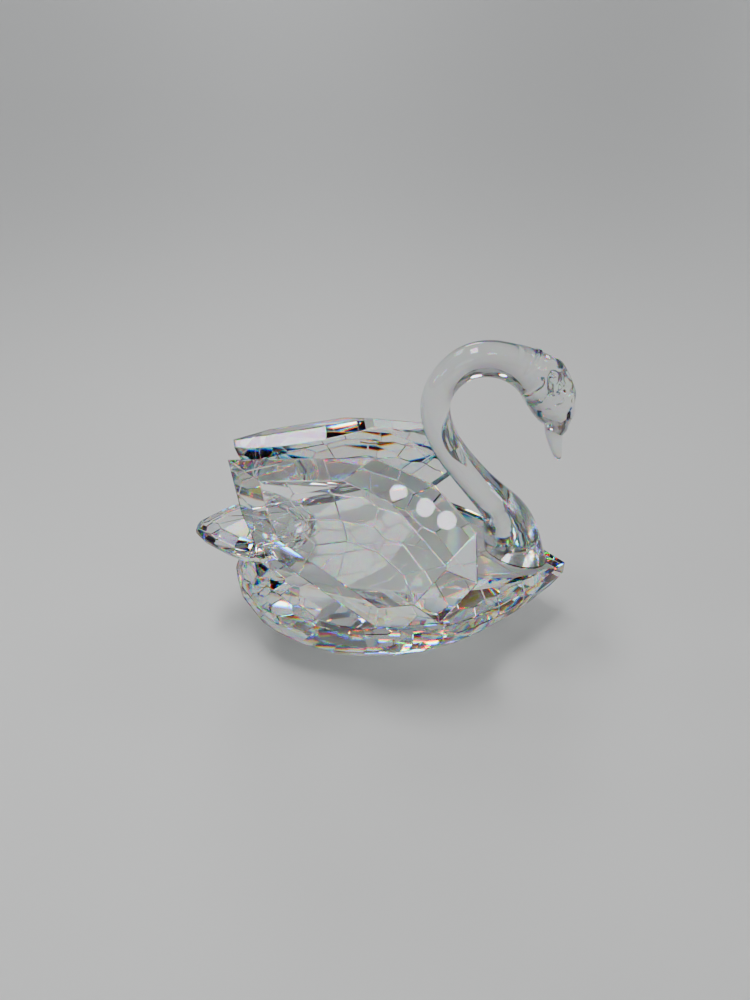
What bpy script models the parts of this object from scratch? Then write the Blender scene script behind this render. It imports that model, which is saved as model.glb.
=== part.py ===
"""A cut-crystal swan: a faceted hull with two wings, a tail and a moulded neck bonded onto it.

Lengths in this file are millimetres until a mesh is written, which is in metres. The swan looks
along +X, +Z is up, its left side is +Y, and its foot rests on Z = 0.
"""

import math

import bmesh
import bpy
import numpy as np

MM = 0.001

# The hull: a pear-shaped stone, widest at its belt, pointed at the breast.
HULL_OUTLINE = [  # half of the belt, from the back of the swan to the tip of its breast
    (-30.2, 0.0),
    (-28.7, 5.8),
    (-24.6, 12.0),
    (-17.2, 17.2),
    (-9.0, 19.8),
    (0.5, 20.4),
    (9.0, 19.1),
    (18.0, 15.4),
    (26.0, 10.2),
    (32.6, 4.6),
    (36.5, 0.0),
]
BELT_HEIGHT = 12.5
HULL_DOME = 15.6  # how far the crown would rise above the belt if nothing cut it flat
HULL_BOWL = 13.6  # how far the underside would fall below the belt
HULL_CROWN_ROWS = [(26, 0.5, 9.0), (26, 0.0, 19.0), (26, 0.5, 30.0)]
HULL_UNDER_ROWS = [(26, 0.5, -12.0), (26, 0.0, -25.0), (24, 0.5, -39.0), (20, 0.0, -54.0)]
HULL_BELT_FACETS = 26
BACK_HEIGHT = 21.2  # the flat back that the tail is bonded to
DECK_SLOPE = 14.0  # degrees that the neck's deck falls toward the breast
DECK_POINT = (28.0, 16.2)  # a point of that deck, as X and Z

# The wings: thick leaves that lean in toward their tops and draw together at the back.
WING_CORNERS = [  # the rim seen square on, from the rear tip, and how its outer bevel tilts
    (-27.6, 31.0, 50.0),
    (-0.8, 33.8, 60.0),
    (10.4, 29.8, 66.0),
    (18.4, 22.2, 58.0),
    (19.4, 13.4, 60.0),
    (13.5, 5.6, 52.0),
    (2.5, 3.4, 50.0),
    (-21.0, 15.8, 58.0),
    (-24.2, 21.5, 60.0),
]
WING_LEAN = 31.5  # degrees from upright
WING_TOE = 11.0  # degrees that each wing turns inward at the back
WING_SEAT = 24.0  # from the origin square out to the seat cut for a wing on the hull
FLANK_OVAL = (-3.0, 6.5, 24.0, 11.0, 0.0)  # round each seat: middle, half lengths, direction
FLANK_SWELL = 6.0
FLANK_CREST = 0.6  # how far the flank would swell past the seat if nothing cut it flat
FLANK_ROWS = [(12, 0.0, 66.0), (14, 0.5, 48.0), (16, 0.0, 31.0)]
WING_OUTER = 4.2  # from the rim's middle out to the wing's flat outer table
WING_INNER = 4.2  # from the rim's middle in to the flat that is bonded to the hull
WING_RIM = 0.9  # half the height of the rim before the outer bevels start
WING_SWELL = 4.4  # how far the inner side would swell if nothing cut it flat
WING_SWELL_OVAL = (-2.0, 10.0, 34.5, 23.5, 155.0)  # its middle, half lengths and direction
WING_INNER_ROWS = [
    (22, 0.0, -12.0),
    (22, 0.5, -27.0),
    (18, 0.0, -43.0),
    (14, 0.5, -57.0),
    (10, 0.0, -68.0),
]

# The tail: a flat leaf with its tip at the back.
TAIL_OUTLINE = [
    (-37.4, 0.0),
    (-35.8, 3.0),
    (-32.0, 6.3),
    (-28.0, 9.0),
    (-24.0, 10.2),
    (-19.8, 8.5),
    (-15.4, 5.0),
    (-13.0, 0.0),
]
TAIL_RIM_HEIGHT = 23.7
TAIL_CROWN = 2.8
TAIL_BELLY = 3.2
TAIL_TOP_ROWS = [(14, 0.0, 16.0), (12, 0.5, 36.0), (8, 0.0, 60.0)]
TAIL_UNDER_ROWS = [(14, 0.5, -12.0), (12, 0.0, -28.0)]
TAIL_RIM_FACETS = 28

# Cured adhesive lies between every two stones.
FILM = 0.25
CLEARANCE = 0.15  # left open on either side of a film
BOND_GAP = FILM + 2 * CLEARANCE

# The neck: centre line (X, Z), then half its thickness in the swan's plane and across it.
NECK_STATIONS = [
    (26.2, 20.0, 6.4, 5.1),
    (25.6, 22.6, 5.7, 4.8),
    (24.6, 25.3, 4.9, 4.4),
    (23.0, 27.9, 4.1, 3.9),
    (20.8, 30.5, 3.55, 3.5),
    (18.4, 33.2, 3.25, 3.2),
    (15.8, 36.4, 3.05, 3.05),
    (13.4, 39.5, 2.95, 2.95),
    (11.3, 42.8, 2.85, 2.9),
    (9.8, 46.2, 2.8, 2.85),
    (9.0, 49.9, 2.75, 2.85),
    (9.4, 53.3, 2.75, 2.9),
    (11.0, 56.3, 2.85, 3.0),
    (13.4, 58.5, 3.05, 3.1),
    (16.1, 59.5, 3.2, 3.2),
    (18.9, 59.6, 3.25, 3.3),
    (21.6, 58.95, 3.35, 3.4),
    (24.15, 57.95, 3.8, 3.7),
    (26.6, 56.4, 4.25, 4.1),
    (28.65, 54.1, 4.6, 4.3),
    (30.1, 51.2, 4.2, 4.1),
    (31.2, 48.6, 3.4, 3.5),
    (31.5, 46.6, 2.4, 2.5),
    (31.3, 44.9, 1.75, 1.9),
    (31.7, 42.9, 1.35, 1.6),
    (32.3, 41.0, 1.0, 1.3),
    (32.8, 39.5, 0.65, 0.85),
]
BEAK_TIP = (33.05, 38.6)
NECK_FOOT = (27.0, 16.9, 6.9, 5.3)  # where the neck's foot meets its bond, in the same terms
NECK_SIDES = 28
NECK_STEPS_BETWEEN = 3

CURVE_SAMPLES = 24  # points drawn between two corners of an outline
OVAL_SAMPLES = 240
BLOCK = 160.0  # side of the block that every stone is cut from
SAW_TOLERANCE = 0.001
SHORTEST_EDGE = 0.02
NEARLY_ALIGNED = 0.985  # cosine beyond which two facets count as parallel


def smooth_closed(corners):
    """Points of a smooth closed curve through the corners."""
    points = np.array(corners, float)
    curve = []
    for i in range(len(points)):
        before, start, end, after = (points[(i + k) % len(points)] for k in (-1, 0, 1, 2))
        for step in range(CURVE_SAMPLES):
            t = step / CURVE_SAMPLES
            curve.append(
                0.5
                * (
                    2 * start
                    + (end - before) * t
                    + (2 * before - 5 * start + 4 * end - after) * t**2
                    + (3 * start - before - 3 * end + after) * t**3
                )
            )
    return np.array(curve)


def oval(half_long, half_short, direction):
    """An oval about the origin, its long axis turned by `direction` degrees from X."""
    turn = math.radians(direction)
    along = np.array([math.cos(turn), math.sin(turn)]) * half_long
    across = np.array([-math.sin(turn), math.cos(turn)]) * half_short
    angles = [2 * math.pi * i / OVAL_SAMPLES for i in range(OVAL_SAMPLES)]
    return np.array([math.cos(t) * along + math.sin(t) * across for t in angles])


def mirrored(half):
    """A closed outline from its half, whose first and last points lie on the axis."""
    return half + [(x, -y) for x, y in reversed(half[1:-1])]


def spread_normals(curve, count, phase):
    """Outward directions at evenly spaced places along a closed curve."""
    steps = np.roll(curve, -1, axis=0) - curve
    lengths = np.linalg.norm(steps, axis=1)
    along = np.concatenate([[0.0], np.cumsum(lengths)])
    area = np.sum(curve[:, 0] * np.roll(curve[:, 1], -1) - curve[:, 1] * np.roll(curve[:, 0], -1))
    turn = 1.0 if area > 0 else -1.0
    normals = []
    for i in range(count):
        place = (i + phase) / count % 1.0 * along[-1]
        step = steps[min(np.searchsorted(along, place, side="right") - 1, len(steps) - 1)]
        outward = turn * np.array([step[1], -step[0]])
        normals.append(outward / np.linalg.norm(outward))
    return normals


def facet_row(curve, count, phase, latitude, rise):
    """Facets that touch a dome of this rise over the outline, in a ring at this latitude."""
    across, height = math.cos(math.radians(latitude)), math.sin(math.radians(latitude))
    planes = []
    for normal in spread_normals(curve, count, phase):
        reach = np.max(curve @ normal)
        out, up = across / reach, height / rise
        steepness = math.hypot(out, up)
        facing = np.array([out * normal[0], out * normal[1], up]) / steepness
        planes.append((facing, 1.0 / steepness))
    return planes


def facet_rows(curve, rows, rise):
    """Rings of facets, each given as how many, where the first starts, and its latitude."""
    return [facet for row in rows for facet in facet_row(curve, *row, rise)]


def placed(planes, axes, origin):
    """Planes moved out of a stone's own frame, whose axes are the rows of `axes`."""
    moved = []
    for normal, distance in planes:
        world = normal @ axes
        moved.append((world, distance + world @ origin))
    return moved


def cut_stone(planes):
    """A block cut flat along every plane, each an outward normal and a distance."""
    stone = bmesh.new()
    bmesh.ops.create_cube(stone, size=BLOCK)
    for normal, distance in planes:
        bmesh.ops.bisect_plane(
            stone,
            geom=stone.verts[:] + stone.edges[:] + stone.faces[:],
            dist=SAW_TOLERANCE,
            plane_co=normal * distance,
            plane_no=normal,
            clear_outer=True,
        )
        bmesh.ops.remove_doubles(stone, verts=stone.verts[:], dist=SAW_TOLERANCE)
        open_edges = [edge for edge in stone.edges if edge.is_boundary]
        bmesh.ops.holes_fill(stone, edges=open_edges, sides=0)
    bmesh.ops.remove_doubles(stone, verts=stone.verts[:], dist=SHORTEST_EDGE)
    bmesh.ops.dissolve_degenerate(stone, edges=stone.edges[:], dist=SHORTEST_EDGE)
    bmesh.ops.recalc_face_normals(stone, faces=stone.faces[:])
    return stone


def crystal(name, tint, roughness):
    material = bpy.data.materials.new(name)
    material.use_nodes = True
    shader = material.node_tree.nodes["Principled BSDF"]
    shader.inputs["Base Color"].default_value = (*tint, 1.0)
    shader.inputs["Roughness"].default_value = roughness
    shader.inputs["Metallic"].default_value = 0.0
    shader.inputs["Transmission Weight"].default_value = 1.0
    return material


def add_node(name, shape, material, smooth=False):
    """Writes a shape drawn in millimetres as an object in metres."""
    bmesh.ops.scale(shape, vec=(MM, MM, MM), verts=shape.verts[:])
    bmesh.ops.triangulate(shape, faces=shape.faces[:])
    mesh = bpy.data.meshes.new(name)
    shape.to_mesh(mesh)
    shape.free()
    for face in mesh.polygons:
        face.use_smooth = smooth
    mesh.materials.append(material)
    node = bpy.data.objects.new(name, mesh)
    bpy.context.scene.collection.objects.link(node)
    return node


def wing_axes(side):
    """A wing's own frame as rows: forward, up along the wing, and square out from it."""
    lean, toe = math.radians(WING_LEAN), math.radians(WING_TOE)
    forward = np.array([math.cos(toe), side * math.sin(toe), 0.0])
    level = np.array([-math.sin(toe), side * math.cos(toe), 0.0])
    out = math.cos(lean) * level + np.array([0.0, 0.0, math.sin(lean)])
    up = -math.sin(lean) * level + np.array([0.0, 0.0, math.cos(lean)])
    return np.array([forward, up, out])


def deck_plane(lift):
    slope = math.radians(DECK_SLOPE)
    normal = np.array([math.sin(slope), 0.0, math.cos(slope)])
    return normal, normal @ np.array([DECK_POINT[0], 0.0, DECK_POINT[1]]) + lift


def flank_planes(side):
    """The seat for a wing, with rings of facets that fall away from it."""
    x, y, half_long, half_short, direction = FLANK_OVAL
    rings = facet_rows(oval(half_long, half_short, direction), FLANK_ROWS, FLANK_SWELL)
    rings = placed(rings, np.eye(3), np.array([x, y, FLANK_CREST - FLANK_SWELL]))
    axes = wing_axes(side)
    seat = (np.array([0.0, 0.0, 1.0]), 0.0)
    return placed(rings + [seat], axes, axes[2] * WING_SEAT)


def hull_planes():
    curve = smooth_closed(mirrored(HULL_OUTLINE))
    crown = facet_rows(curve, HULL_CROWN_ROWS, HULL_DOME)
    belt = facet_row(curve, HULL_BELT_FACETS, 0.5, 0.0, HULL_DOME)
    under = facet_rows(curve, HULL_UNDER_ROWS, HULL_BOWL)
    facets = placed(crown + belt + under, np.eye(3), np.array([0.0, 0.0, BELT_HEIGHT]))
    flanks = flank_planes(-1.0) + flank_planes(1.0)
    up = np.array([0.0, 0.0, 1.0])
    return facets + flanks + [(up, BACK_HEIGHT), deck_plane(0.0), (-up, 0.0)]


def outer_bevels(corners):
    """One bevel along each side of a many-cornered rim, and a narrow one across each corner."""
    flat = [np.array(corner[:2]) for corner in corners]
    planes = []
    for i, (*_, tilt) in enumerate(corners):
        along = flat[(i + 1) % len(flat)] - flat[i]
        outward = np.array([-along[1], along[0]]) / np.linalg.norm(along)
        up, out = math.sin(math.radians(tilt)), math.cos(math.radians(tilt))
        side = np.array([out * outward[0], out * outward[1], up])
        planes.append((side, out * (flat[i] @ outward) + up * WING_RIM))
        planes.append((np.array([*outward, 0.0]), flat[i] @ outward))
    return planes


def wing_planes(side):
    """The right wing's rim runs round it from the rear tip, over the top, and down the front."""
    x, y, half_long, half_short, direction = WING_SWELL_OVAL
    swell = facet_rows(oval(half_long, half_short, direction), WING_INNER_ROWS, WING_SWELL)
    inner = placed(swell, np.eye(3), np.array([x, y, 0.0]))
    out = np.array([0.0, 0.0, 1.0])
    facets = outer_bevels(WING_CORNERS) + inner + [(out, WING_OUTER), (-out, WING_INNER)]
    axes = wing_axes(side)
    return placed(facets, axes, axes[2] * (WING_SEAT + BOND_GAP + WING_INNER))


def tail_planes():
    curve = smooth_closed(mirrored(TAIL_OUTLINE))
    middle = np.array([curve[:, 0].min() + curve[:, 0].max(), 0.0]) / 2
    curve = curve - middle
    top = facet_rows(curve, TAIL_TOP_ROWS, TAIL_CROWN)
    rim = facet_row(curve, TAIL_RIM_FACETS, 0.0, 0.0, TAIL_CROWN)
    below = facet_rows(curve, TAIL_UNDER_ROWS, TAIL_BELLY)
    centre = np.array([middle[0], 0.0, TAIL_RIM_HEIGHT])
    flat = (np.array([0.0, 0.0, -1.0]), -(BACK_HEIGHT + BOND_GAP))
    return placed(top + rim + below, np.eye(3), centre) + [flat]


def film_over(stone_planes, seat_normal, seat_distance, shrink):
    """The adhesive film on a seat: the slice of both stones' reach there, drawn in by `shrink`."""
    slab = [
        (seat_normal, seat_distance + CLEARANCE + FILM),
        (-seat_normal, -(seat_distance + CLEARANCE)),
    ]
    sides = [
        (normal, distance - shrink * np.linalg.norm(np.cross(normal, seat_normal)))
        for normal, distance in stone_planes
        if abs(normal @ seat_normal) < NEARLY_ALIGNED
    ]
    return cut_stone(slab + sides)


def smooth_stations(stations):
    """More stations along the same line, by the same curve that smooths an outline."""
    rows = np.array(stations, float)
    out = []
    for i in range(len(rows) - 1):
        before = rows[max(i - 1, 0)]
        start, end = rows[i], rows[i + 1]
        after = rows[min(i + 2, len(rows) - 1)]
        for step in range(NECK_STEPS_BETWEEN):
            t = step / NECK_STEPS_BETWEEN
            out.append(
                0.5
                * (
                    2 * start
                    + (end - before) * t
                    + (2 * before - 5 * start + 4 * end - after) * t**2
                    + (3 * start - before - 3 * end + after) * t**3
                )
            )
    out.append(rows[-1])
    return out


def neck_shape():
    """The neck as rings of points swept along its centre line, closed at its foot and beak."""
    rows = smooth_stations(NECK_STATIONS)
    slope = math.radians(DECK_SLOPE)
    foot_along = np.array([math.cos(slope), -math.sin(slope)])
    rings = [(np.array(NECK_FOOT[:2]), foot_along, NECK_FOOT[2], NECK_FOOT[3])]
    for i, (x, z, thick, wide) in enumerate(rows):
        ahead = rows[min(i + 1, len(rows) - 1)][:2] - rows[max(i - 1, 0)][:2]
        ahead = ahead / np.linalg.norm(ahead)
        across = np.array([ahead[1], -ahead[0]])
        blend = max(0.0, 1.0 - i / (3 * NECK_STEPS_BETWEEN))
        across = (1 - blend) * across + blend * foot_along
        rings.append((np.array([x, z]), across / np.linalg.norm(across), thick, wide))
    shape = bmesh.new()
    loops = []
    for centre, across, thick, wide in rings:
        loop = []
        for k in range(NECK_SIDES):
            angle = 2 * math.pi * k / NECK_SIDES
            x, z = centre + across * thick * math.cos(angle)
            loop.append(shape.verts.new((x, wide * math.sin(angle), z)))
        loops.append(loop)
    for low, high in zip(loops, loops[1:]):
        for k in range(NECK_SIDES):
            after = (k + 1) % NECK_SIDES
            shape.faces.new((low[k], low[after], high[after], high[k]))
    shape.faces.new(list(reversed(loops[0])))
    tip = shape.verts.new((BEAK_TIP[0], 0.0, BEAK_TIP[1]))
    for k in range(NECK_SIDES):
        shape.faces.new((loops[-1][k], loops[-1][(k + 1) % NECK_SIDES], tip))
    bmesh.ops.recalc_face_normals(shape, faces=shape.faces[:])
    return shape


def neck_film():
    """The film under the neck's foot, an oval that follows the slope of the deck."""
    normal, distance = deck_plane(CLEARANCE)
    slope = math.radians(DECK_SLOPE)
    along = np.array([math.cos(slope), 0.0, -math.sin(slope)])
    foot = np.array([NECK_FOOT[0], 0.0, NECK_FOOT[1]])
    base = foot - normal * (foot @ normal - distance)
    shape = bmesh.new()
    loops = []
    for lift in (0.0, FILM):
        loop = []
        for k in range(NECK_SIDES):
            angle = 2 * math.pi * k / NECK_SIDES
            point = base + normal * lift
            point = point + along * (NECK_FOOT[2] - 0.4) * math.cos(angle)
            point = point + np.array([0.0, (NECK_FOOT[3] - 0.4) * math.sin(angle), 0.0])
            loop.append(shape.verts.new(point))
        loops.append(loop)
    for k in range(NECK_SIDES):
        after = (k + 1) % NECK_SIDES
        shape.faces.new((loops[0][k], loops[0][after], loops[1][after], loops[1][k]))
    shape.faces.new(list(reversed(loops[0])))
    shape.faces.new(loops[1])
    bmesh.ops.recalc_face_normals(shape, faces=shape.faces[:])
    return shape


def build():
    for leftover in list(bpy.data.objects):
        bpy.data.objects.remove(leftover, do_unlink=True)
    cut_crystal = crystal("cut_crystal", (0.93, 0.95, 0.95), 0.02)
    moulded_crystal = crystal("moulded_crystal", (0.9, 0.93, 0.94), 0.05)
    adhesive = crystal("clear_adhesive", (0.86, 0.88, 0.84), 0.25)

    hull = hull_planes()
    add_node("hull", cut_stone(hull), cut_crystal)
    for name, side in (("right_wing", -1.0), ("left_wing", 1.0)):
        wing = wing_planes(side)
        add_node(name, cut_stone(wing), cut_crystal)
        seat = wing_axes(side)[2]
        film = film_over(hull + wing, seat, WING_SEAT, 0.4)
        add_node(name + "_bond", film, adhesive)
    tail = tail_planes()
    add_node("tail", cut_stone(tail), cut_crystal)
    film = film_over(hull + tail, np.array([0.0, 0.0, 1.0]), BACK_HEIGHT, 0.4)
    add_node("tail_bond", film, adhesive)
    add_node("neck_and_head", neck_shape(), moulded_crystal, smooth=True)
    add_node("neck_bond", neck_film(), adhesive)


build()
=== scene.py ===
"""The looks of the crystal swan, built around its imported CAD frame.

Lengths are in millimetres until they are used, and then in metres. The swan looks along +X, and
the camera stands on its right, on the -Y side.
"""

import math

import bmesh
import bpy
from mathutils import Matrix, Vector, noise
from mathutils.bvhtree import BVHTree


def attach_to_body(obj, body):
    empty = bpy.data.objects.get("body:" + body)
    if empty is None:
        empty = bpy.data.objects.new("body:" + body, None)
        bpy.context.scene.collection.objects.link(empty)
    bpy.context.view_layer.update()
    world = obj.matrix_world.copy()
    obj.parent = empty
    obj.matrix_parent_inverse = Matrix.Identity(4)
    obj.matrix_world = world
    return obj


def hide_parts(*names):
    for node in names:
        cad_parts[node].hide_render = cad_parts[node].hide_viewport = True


MM = 0.001

# Camera: where the photograph was taken from, how it was turned, and how wide it sees
CAMERA_AT = (-4.63, -122.88, 114.0)
CAMERA_PITCH = 34.3  # degrees down from level
CAMERA_YAW = -1.27
LENS_MM = 27.4
SENSOR_MM = 36.0
NEAREST_SEEN = 5.0

# Cut stones
CUT_STONES = ("hull", "right_wing", "left_wing", "tail")
SAME_POINT = 0.002
FLAT_WITHIN = 0.4  # degrees within which two triangles are one facet
EDGE_WIDTH = 0.16  # the strip along each facet's edge; wider than a real one, so that it shows
EDGE_HEIGHT = 0.09  # how far that strip stands proud of the facet
SHORTEST_SIDE = 3.0 * EDGE_WIDTH  # a facet with a shorter side gets no strip

# Adhesive films
BONDS = ("neck_bond", "right_wing_bond", "left_wing_bond", "tail_bond")
FILM_BITE = 0.2  # how far a film's visual piece reaches past its own faces into the stones

# Neck
QUAD_FLATNESS = 40.0  # degrees that the two triangles of a four-sided face may bend
QUAD_SKEW = 60.0  # degrees that its corners may be off square
SHARP_OVER = 55.0  # degrees from which an edge of the rod stays sharp
ROUNDING = 2  # times that every face is split in four to round the rod

# Head: the part of the neck above and ahead of these; its two sides are alike
HEAD_ABOVE = 40.0
HEAD_AHEAD = 21.0
HEAD_MIDDLE = (29.5, 0.0, 53.0)
FALLOFF = 3.0  # how steeply bumps and rings fade
EYE_AT = (30.2, 3.8, 53.4)
EYE_SOCKET = (1.0, 0.35, -0.35)  # radius, width, how far out
CROWN_STEP = (8.4, 0.6, 0.35)  # the same, about the head's middle
CROWN_FROM = 57.0  # the height at which the step starts
CROWN_FADE = 3.0  # and the height over which it grows to its full depth
HEAD_BUMPS = (  # where, radius, how far out
    (EYE_AT, 0.75, 0.75),
    ((28.6, 3.3, 57.6), 1.2, 0.5),
    ((30.2, 3.2, 55.9), 0.8, 0.45),
    ((32.4, 2.6, 54.2), 1.0, 0.4),
    ((32.6, 2.6, 51.6), 0.9, 0.45),
    ((30.6, 3.4, 50.6), 0.9, 0.55),
    ((28.6, 3.9, 51.2), 0.9, -0.5),
    ((27.8, 4.0, 54.0), 1.3, -0.5),
    ((29.3, 2.9, 48.2), 0.8, 0.5),
    ((31.6, 2.4, 48.6), 0.8, 0.5),
    ((33.2, 1.0, 48.9), 0.8, 0.35),
    ((26.4, 3.6, 57.9), 0.8, -0.35),
)
LUMP_SIZE = 2.6
LUMP_DEPTH = 0.6
FACE_TOWARD = (0.85, 0.0, 0.53)  # the way that the lumpy side of the head faces
FACE_FROM = -1.0  # how far that way from the head's middle the lumps start
FACE_FADE = 2.0  # over how much they grow to their full depth
NAPE_AT = 25.0  # the same two, along the way the swan looks
NAPE_FADE = 1.5

# Crystal
CRYSTAL_IOR = 1.6
FIRE = 0.024  # how far red and blue bend apart, in index
CUT_TINT = (0.985, 0.995, 0.99)
MOULDED_TINT = (0.84, 0.86, 0.86)  # greyer, so that the neck stands out from a pale floor
CUT_WAVES = (4.0, 0.003)  # the faint waves in each surface: size and depth
MOULDED_WAVES = (2.5, 0.03)
FILM_WAVES = (1.0, 0.01)

# Studio
FLOOR_SIDE = 16000.0
FLOOR_COLOUR = (0.72, 0.72, 0.71)
FLOOR_ROUGHNESS = 0.6
FOOT_GAP = 0.03  # the air that stays under the polished foot
LAMPS_AIM = (0.0, 0.0, 20.0)
SOFTBOX_AT = (-50.0, 0.0, 320.0)
SOFTBOX_SIZE = (150.0, 50.0)
SOFTBOX_POWER = 0.5
DOTS = ((1.9, -13.1, 40.5), (6.5, -14.6, 38.5), (10.3, -15.9, 36.5))  # on the near wing
BEAD_AWAY = 600.0  # from a dot to the round lamp that it is the reflection of
BEAD_WIDTH = 18.0
BEAD_POWER = 0.015
STUDIO_COLOUR = (0.96, 0.98, 1.0)
BACKDROP = 0.3
WALL_PATCHES = 5.0
WALL_SHADES = (0.0, 0.36)
WALL_SPLIT = (0.15, 0.85)  # patches drawn below the first are darkest, above the second brightest
PANEL_EDGE = 0.3  # degrees over which a panel's edge fades
PANELS = (  # azimuth, elevation and half-width in degrees, then brightness
    (-36, 14, 6, 6.0),
    (-116, 28, 12, 1.4),
    (-75, 55, 6, 5.0),
    (-160, 22, 5, 6.0),
    (20, 45, 6, 6.0),
    (60, 14, 5, 6.0),
    (95, 30, 9, 6.0),
    (128, 42, 7, 5.0),
    (150, 50, 6, 5.0),
    (180, 12, 5, 5.0),
)


def cleaned_copy(node, name):
    """A CAD node's shape as one closed, flat-shaded shell, its triangles merged back into facets."""
    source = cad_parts[node].data
    mesh = bpy.data.meshes.new(name)
    mesh.from_pydata([v.co for v in source.vertices], [], [p.vertices for p in source.polygons])
    shape = bmesh.new()
    shape.from_mesh(mesh)
    bmesh.ops.remove_doubles(shape, verts=shape.verts[:], dist=SAME_POINT * MM)
    bmesh.ops.dissolve_limit(
        shape,
        angle_limit=math.radians(FLAT_WITHIN),
        verts=shape.verts[:],
        edges=shape.edges[:],
    )
    bmesh.ops.recalc_face_normals(shape, faces=shape.faces[:])
    shape.to_mesh(mesh)
    shape.free()
    piece = bpy.data.objects.new(name, mesh)
    bpy.context.scene.collection.objects.link(piece)
    return piece


def apply_modifiers(piece):
    """Turns what the modifiers show into the piece's own mesh."""
    graph = bpy.context.evaluated_depsgraph_get()
    mesh = bpy.data.meshes.new_from_object(piece.evaluated_get(graph))
    piece.modifiers.clear()
    piece.data = mesh


def attach(piece, node, material):
    """Lets a finished piece stand for its CAD node, with its material on."""
    piece.data.materials.clear()
    piece.data.materials.append(material)
    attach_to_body(piece, "root")
    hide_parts(node)


def glass_lobe(tree, colour, ior, surface):
    lobe = tree.nodes.new("ShaderNodeBsdfGlass")
    lobe.inputs["Color"].default_value = (*colour, 1.0)
    lobe.inputs["IOR"].default_value = ior
    lobe.inputs["Roughness"].default_value = 0.0
    tree.links.new(surface.outputs["Normal"], lobe.inputs["Normal"])
    return lobe


def mix(tree, first, second, share):
    """Two shaders mixed, with share being how much of it is the second."""
    mixer = tree.nodes.new("ShaderNodeMixShader")
    mixer.inputs[0].default_value = share
    tree.links.new(first.outputs[0], mixer.inputs[1])
    tree.links.new(second.outputs[0], mixer.inputs[2])
    return mixer


def waves(tree, size, depth):
    """The faint waviness that polishing or moulding leaves, as a bump."""
    coords = tree.nodes.new("ShaderNodeTexCoord")
    ripples = tree.nodes.new("ShaderNodeTexNoise")
    ripples.inputs["Scale"].default_value = 1.0 / (size * MM)
    ripples.inputs["Detail"].default_value = 2.0
    surface = tree.nodes.new("ShaderNodeBump")
    surface.inputs["Distance"].default_value = depth * MM
    tree.links.new(coords.outputs["Object"], ripples.inputs["Vector"])
    tree.links.new(ripples.outputs["Fac"], surface.inputs["Height"])
    return surface


def crystal_material(name, tint, wave_size, wave_depth):
    """Clear glass that splits white light into red, green and blue where the eye first meets it.

    Each of the three is three times too strong by itself, because each gets a third of the mix.
    Deeper in, where the light is split already, the glass is plain.
    """
    material = bpy.data.materials.new(name)
    material.use_nodes = True
    tree = material.node_tree
    tree.nodes.clear()
    surface = waves(tree, wave_size, wave_depth)
    red = glass_lobe(tree, (3.0, 0.0, 0.0), CRYSTAL_IOR - FIRE, surface)
    green = glass_lobe(tree, (0.0, 3.0, 0.0), CRYSTAL_IOR, surface)
    blue = glass_lobe(tree, (0.0, 0.0, 3.0), CRYSTAL_IOR + FIRE, surface)
    split = mix(tree, mix(tree, red, green, 0.5), blue, 1.0 / 3.0)
    plain = glass_lobe(tree, tint, CRYSTAL_IOR, surface)
    path = tree.nodes.new("ShaderNodeLightPath")
    deeper = tree.nodes.new("ShaderNodeMath")
    deeper.operation = "SUBTRACT"
    deeper.inputs[0].default_value = 1.0
    tree.links.new(path.outputs["Is Camera Ray"], deeper.inputs[1])
    chooser = mix(tree, split, plain, 0.5)
    tree.links.new(deeper.outputs[0], chooser.inputs[0])
    out = tree.nodes.new("ShaderNodeOutputMaterial")
    tree.links.new(chooser.outputs[0], out.inputs["Surface"])
    return material


def plain_material(name, colour, roughness):
    material = bpy.data.materials.new(name)
    material.use_nodes = True
    shader = material.node_tree.nodes["Principled BSDF"]
    shader.inputs["Base Color"].default_value = (*colour, 1.0)
    shader.inputs["Roughness"].default_value = roughness
    return material


def dress_cad_nodes(material):
    """Gives the CAD nodes crystal too, though other pieces stand in for all of them."""
    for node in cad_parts.values():
        node.data.materials.clear()
        node.data.materials.append(material)


def make_stones(material):
    """The cut stones; each facet dips a hair below its edges, which then catch the light."""
    for node in CUT_STONES:
        stone = cleaned_copy(node, node + "_stone")
        shape = bmesh.new()
        shape.from_mesh(stone.data)
        wide = [
            face
            for face in shape.faces
            if min(edge.calc_length() for edge in face.edges) > SHORTEST_SIDE * MM
        ]
        bmesh.ops.inset_individual(
            shape,
            faces=wide,
            thickness=EDGE_WIDTH * MM,
            depth=-EDGE_HEIGHT * MM,
            use_even_offset=True,
        )
        shape.to_mesh(stone.data)
        shape.free()
        attach(stone, node, material)


def clamped(value):
    return max(0.0, min(1.0, value))


def one_side(point):
    """The point on the swan's left that a point on either side mirrors to."""
    return Vector((point.x, abs(point.y), point.z))


def bump(point, centre, radius):
    """How much of a round, soft-edged bump a point gets: 1 at its centre, fading outward."""
    away = (point - Vector(centre) * MM).length / (radius * MM)
    return math.exp(-FALLOFF * away * away)


def ring(point, centre, radius, width, lift):
    """How far a ring-shaped ridge or groove lifts a point."""
    away = ((point - Vector(centre) * MM).length - radius * MM) / (width * MM)
    return lift * math.exp(-FALLOFF * away * away)


def head_relief(point):
    """How far the moulded head stands out at a point, in millimetres."""
    side = one_side(point)
    height = sum(lift * bump(side, centre, radius) for centre, radius, lift in HEAD_BUMPS)
    height += ring(side, EYE_AT, *EYE_SOCKET)
    height += clamped((point.z / MM - CROWN_FROM) / CROWN_FADE) * ring(point, HEAD_MIDDLE, *CROWN_STEP)
    return height


def lumps(point):
    """The uneven relief of crown and face, in millimetres; the throat stays smooth."""
    facing = (point / MM - Vector(HEAD_MIDDLE)) @ Vector(FACE_TOWARD)
    on_face = clamped((facing - FACE_FROM) / FACE_FADE)
    past_nape = clamped((point.x / MM - NAPE_AT) / NAPE_FADE)
    return LUMP_DEPTH * on_face * past_nape * noise.noise(one_side(point) / (LUMP_SIZE * MM))


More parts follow.
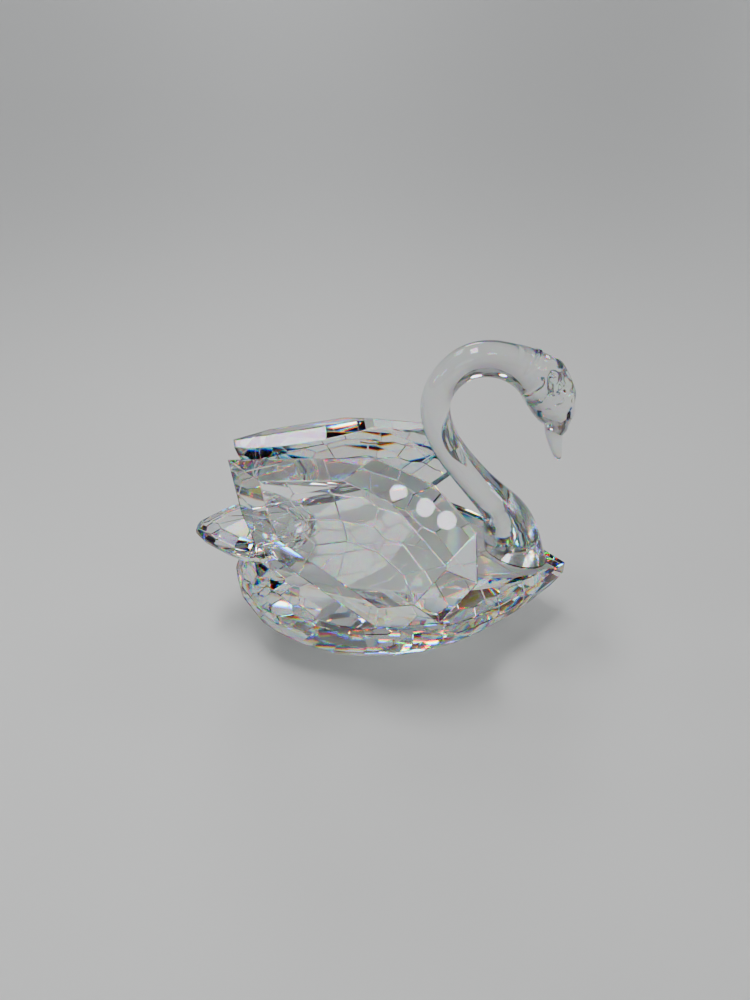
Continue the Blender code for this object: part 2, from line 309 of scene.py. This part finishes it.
def make_neck(material):
    """The neck as a smooth rod; the head's relief is pressed into it as the mould does."""
    neck = cleaned_copy("neck_and_head", "neck_and_head_glass")
    shape = bmesh.new()
    shape.from_mesh(neck.data)
    bmesh.ops.triangulate(shape, faces=[face for face in shape.faces if len(face.verts) > 4])
    bmesh.ops.join_triangles(
        shape,
        faces=shape.faces[:],
        angle_face_threshold=math.radians(QUAD_FLATNESS),
        angle_shape_threshold=math.radians(QUAD_SKEW),
    )
    crease = shape.edges.layers.float.new("crease_edge")
    for edge in shape.edges:
        if edge.calc_face_angle() > math.radians(SHARP_OVER):
            edge[crease] = 1.0
    shape.to_mesh(neck.data)
    shape.free()
    rounding = neck.modifiers.new("rounding", "SUBSURF")
    rounding.levels = ROUNDING
    apply_modifiers(neck)
    normals = [vertex.normal.copy() for vertex in neck.data.vertices]
    for vertex, normal in zip(neck.data.vertices, normals):
        if vertex.co.z > HEAD_ABOVE * MM and vertex.co.x > HEAD_AHEAD * MM:
            vertex.co += normal * (head_relief(vertex.co) + lumps(vertex.co)) * MM
    for face in neck.data.polygons:
        face.use_smooth = True
    neck.data.set_sharp_from_angle(angle=math.radians(SHARP_OVER))
    attach(neck, "neck_and_head", material)


def make_films(material):
    """Each film's visual piece reaches into the stones on either side, as adhesive wets them."""
    for node in BONDS:
        film = cleaned_copy(node, node + "_film")
        across = max(film.data.polygons, key=lambda face: face.area).normal.copy()
        heights = [vertex.co @ across for vertex in film.data.vertices]
        middle = (min(heights) + max(heights)) / 2.0
        for vertex, height in zip(film.data.vertices, heights):
            vertex.co += math.copysign(FILM_BITE * MM, height - middle) * across
        attach(film, node, material)


def make_floor():
    bpy.ops.mesh.primitive_plane_add(size=FLOOR_SIDE * MM, location=(0.0, 0.0, -FOOT_GAP * MM))
    floor = bpy.context.object
    floor.name = "floor"
    floor.data.materials.append(plain_material("pale_floor", FLOOR_COLOUR, FLOOR_ROUGHNESS))


def area_light(name, shape, place, power):
    """A lamp that faces the swan; its caller sets its size. place is a vector in millimetres."""
    light = bpy.data.lights.new(name, "AREA")
    light.shape = shape
    light.energy = power
    lamp = bpy.data.objects.new(name, light)
    bpy.context.scene.collection.objects.link(lamp)
    lamp.location = place * MM
    lamp.rotation_euler = (Vector(LAMPS_AIM) - place).to_track_quat("-Z", "Y").to_euler()
    return light


def mirrored_place(wing, spot):
    """Where a lamp stands, in millimetres, for the camera to see it mirrored in the wing at a spot."""
    at, normal, _, _ = wing.find_nearest(Vector(spot) * MM)
    sight = (at / MM - Vector(CAMERA_AT)).normalized()
    return at / MM + BEAD_AWAY * sight.reflect(normal)


def make_lights():
    softbox = area_light("softbox", "RECTANGLE", Vector(SOFTBOX_AT), SOFTBOX_POWER)
    softbox.size = SOFTBOX_SIZE[0] * MM
    softbox.size_y = SOFTBOX_SIZE[1] * MM
    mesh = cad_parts["right_wing"].data
    wing = BVHTree.FromPolygons(
        [vertex.co for vertex in mesh.vertices],
        [face.vertices for face in mesh.polygons],
    )
    for i, spot in enumerate(DOTS):
        bead = area_light(f"bead_{i}", "DISK", mirrored_place(wing, spot), BEAD_POWER)
        bead.size = BEAD_WIDTH * MM


def direction(azimuth, elevation):
    flat = math.cos(math.radians(elevation))
    around = math.radians(azimuth)
    return (flat * math.cos(around), flat * math.sin(around), math.sin(math.radians(elevation)))


def wall_patches(tree, coords):
    """Walls of light and dark patches, as a brightness."""
    walls = tree.nodes.new("ShaderNodeTexVoronoi")
    walls.inputs["Scale"].default_value = WALL_PATCHES
    shades = tree.nodes.new("ShaderNodeMapRange")
    shades.interpolation_type = "SMOOTHSTEP"
    shades.inputs["From Min"].default_value = WALL_SPLIT[0]
    shades.inputs["From Max"].default_value = WALL_SPLIT[1]
    shades.inputs["To Min"].default_value = WALL_SHADES[0]
    shades.inputs["To Max"].default_value = WALL_SHADES[1]
    tree.links.new(coords.outputs["Generated"], walls.inputs["Vector"])
    tree.links.new(walls.outputs["Color"], shades.inputs["Value"])
    return shades


def bright_panel(tree, coords, azimuth, elevation, half_width, brightness):
    """A round panel on the studio's wall, as a brightness."""
    toward = tree.nodes.new("ShaderNodeVectorMath")
    toward.operation = "DOT_PRODUCT"
    toward.inputs[1].default_value = direction(azimuth, elevation)
    tree.links.new(coords.outputs["Generated"], toward.inputs[0])
    panel = tree.nodes.new("ShaderNodeMapRange")
    panel.interpolation_type = "SMOOTHSTEP"
    panel.inputs["From Min"].default_value = math.cos(math.radians(half_width + PANEL_EDGE))
    panel.inputs["From Max"].default_value = math.cos(math.radians(half_width))
    panel.inputs["To Max"].default_value = brightness
    tree.links.new(toward.outputs["Value"], panel.inputs["Value"])
    return panel


def make_world():
    """A studio with patchy walls and small bright panels, which the facets break up into sparks.

    Where the eye looks past the glass it sees a plain backdrop.
    """
    world = bpy.data.worlds.new("studio")
    bpy.context.scene.world = world
    world.use_nodes = True
    tree = world.node_tree
    background = tree.nodes["Background"]
    coords = tree.nodes.new("ShaderNodeTexCoord")
    total = wall_patches(tree, coords)
    for row in PANELS:
        panel = bright_panel(tree, coords, *row)
        adder = tree.nodes.new("ShaderNodeMath")
        tree.links.new(total.outputs[0], adder.inputs[0])
        tree.links.new(panel.outputs["Result"], adder.inputs[1])
        total = adder
    path = tree.nodes.new("ShaderNodeLightPath")
    seen = tree.nodes.new("ShaderNodeMix")
    seen.inputs["B"].default_value = BACKDROP
    tree.links.new(path.outputs["Is Camera Ray"], seen.inputs["Factor"])
    tree.links.new(total.outputs[0], seen.inputs["A"])
    tree.links.new(seen.outputs["Result"], background.inputs["Strength"])
    background.inputs["Color"].default_value = (*STUDIO_COLOUR, 1.0)


def make_camera():
    data = bpy.data.cameras.new("camera")
    data.sensor_fit = "VERTICAL"
    data.sensor_height = SENSOR_MM
    data.lens = LENS_MM
    data.clip_start = NEAREST_SEEN * MM
    camera = bpy.data.objects.new("camera", data)
    bpy.context.scene.collection.objects.link(camera)
    camera.location = Vector(CAMERA_AT) * MM
    camera.rotation_euler = (math.radians(90.0 - CAMERA_PITCH), 0.0, math.radians(CAMERA_YAW))
    bpy.context.scene.camera = camera


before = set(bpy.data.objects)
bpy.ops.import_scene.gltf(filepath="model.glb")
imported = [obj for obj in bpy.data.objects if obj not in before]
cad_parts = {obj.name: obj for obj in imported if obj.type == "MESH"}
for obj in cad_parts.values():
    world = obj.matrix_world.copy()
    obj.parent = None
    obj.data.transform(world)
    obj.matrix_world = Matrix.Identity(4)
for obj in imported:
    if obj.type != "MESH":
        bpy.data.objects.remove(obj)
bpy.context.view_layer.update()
cut = crystal_material("cut_crystal_glass", CUT_TINT, *CUT_WAVES)
moulded = crystal_material("moulded_crystal_glass", MOULDED_TINT, *MOULDED_WAVES)
adhesive = crystal_material("adhesive_glass", CUT_TINT, *FILM_WAVES)
dress_cad_nodes(cut)
make_stones(cut)
make_neck(moulded)
make_films(adhesive)
make_floor()
make_lights()
make_world()
make_camera()
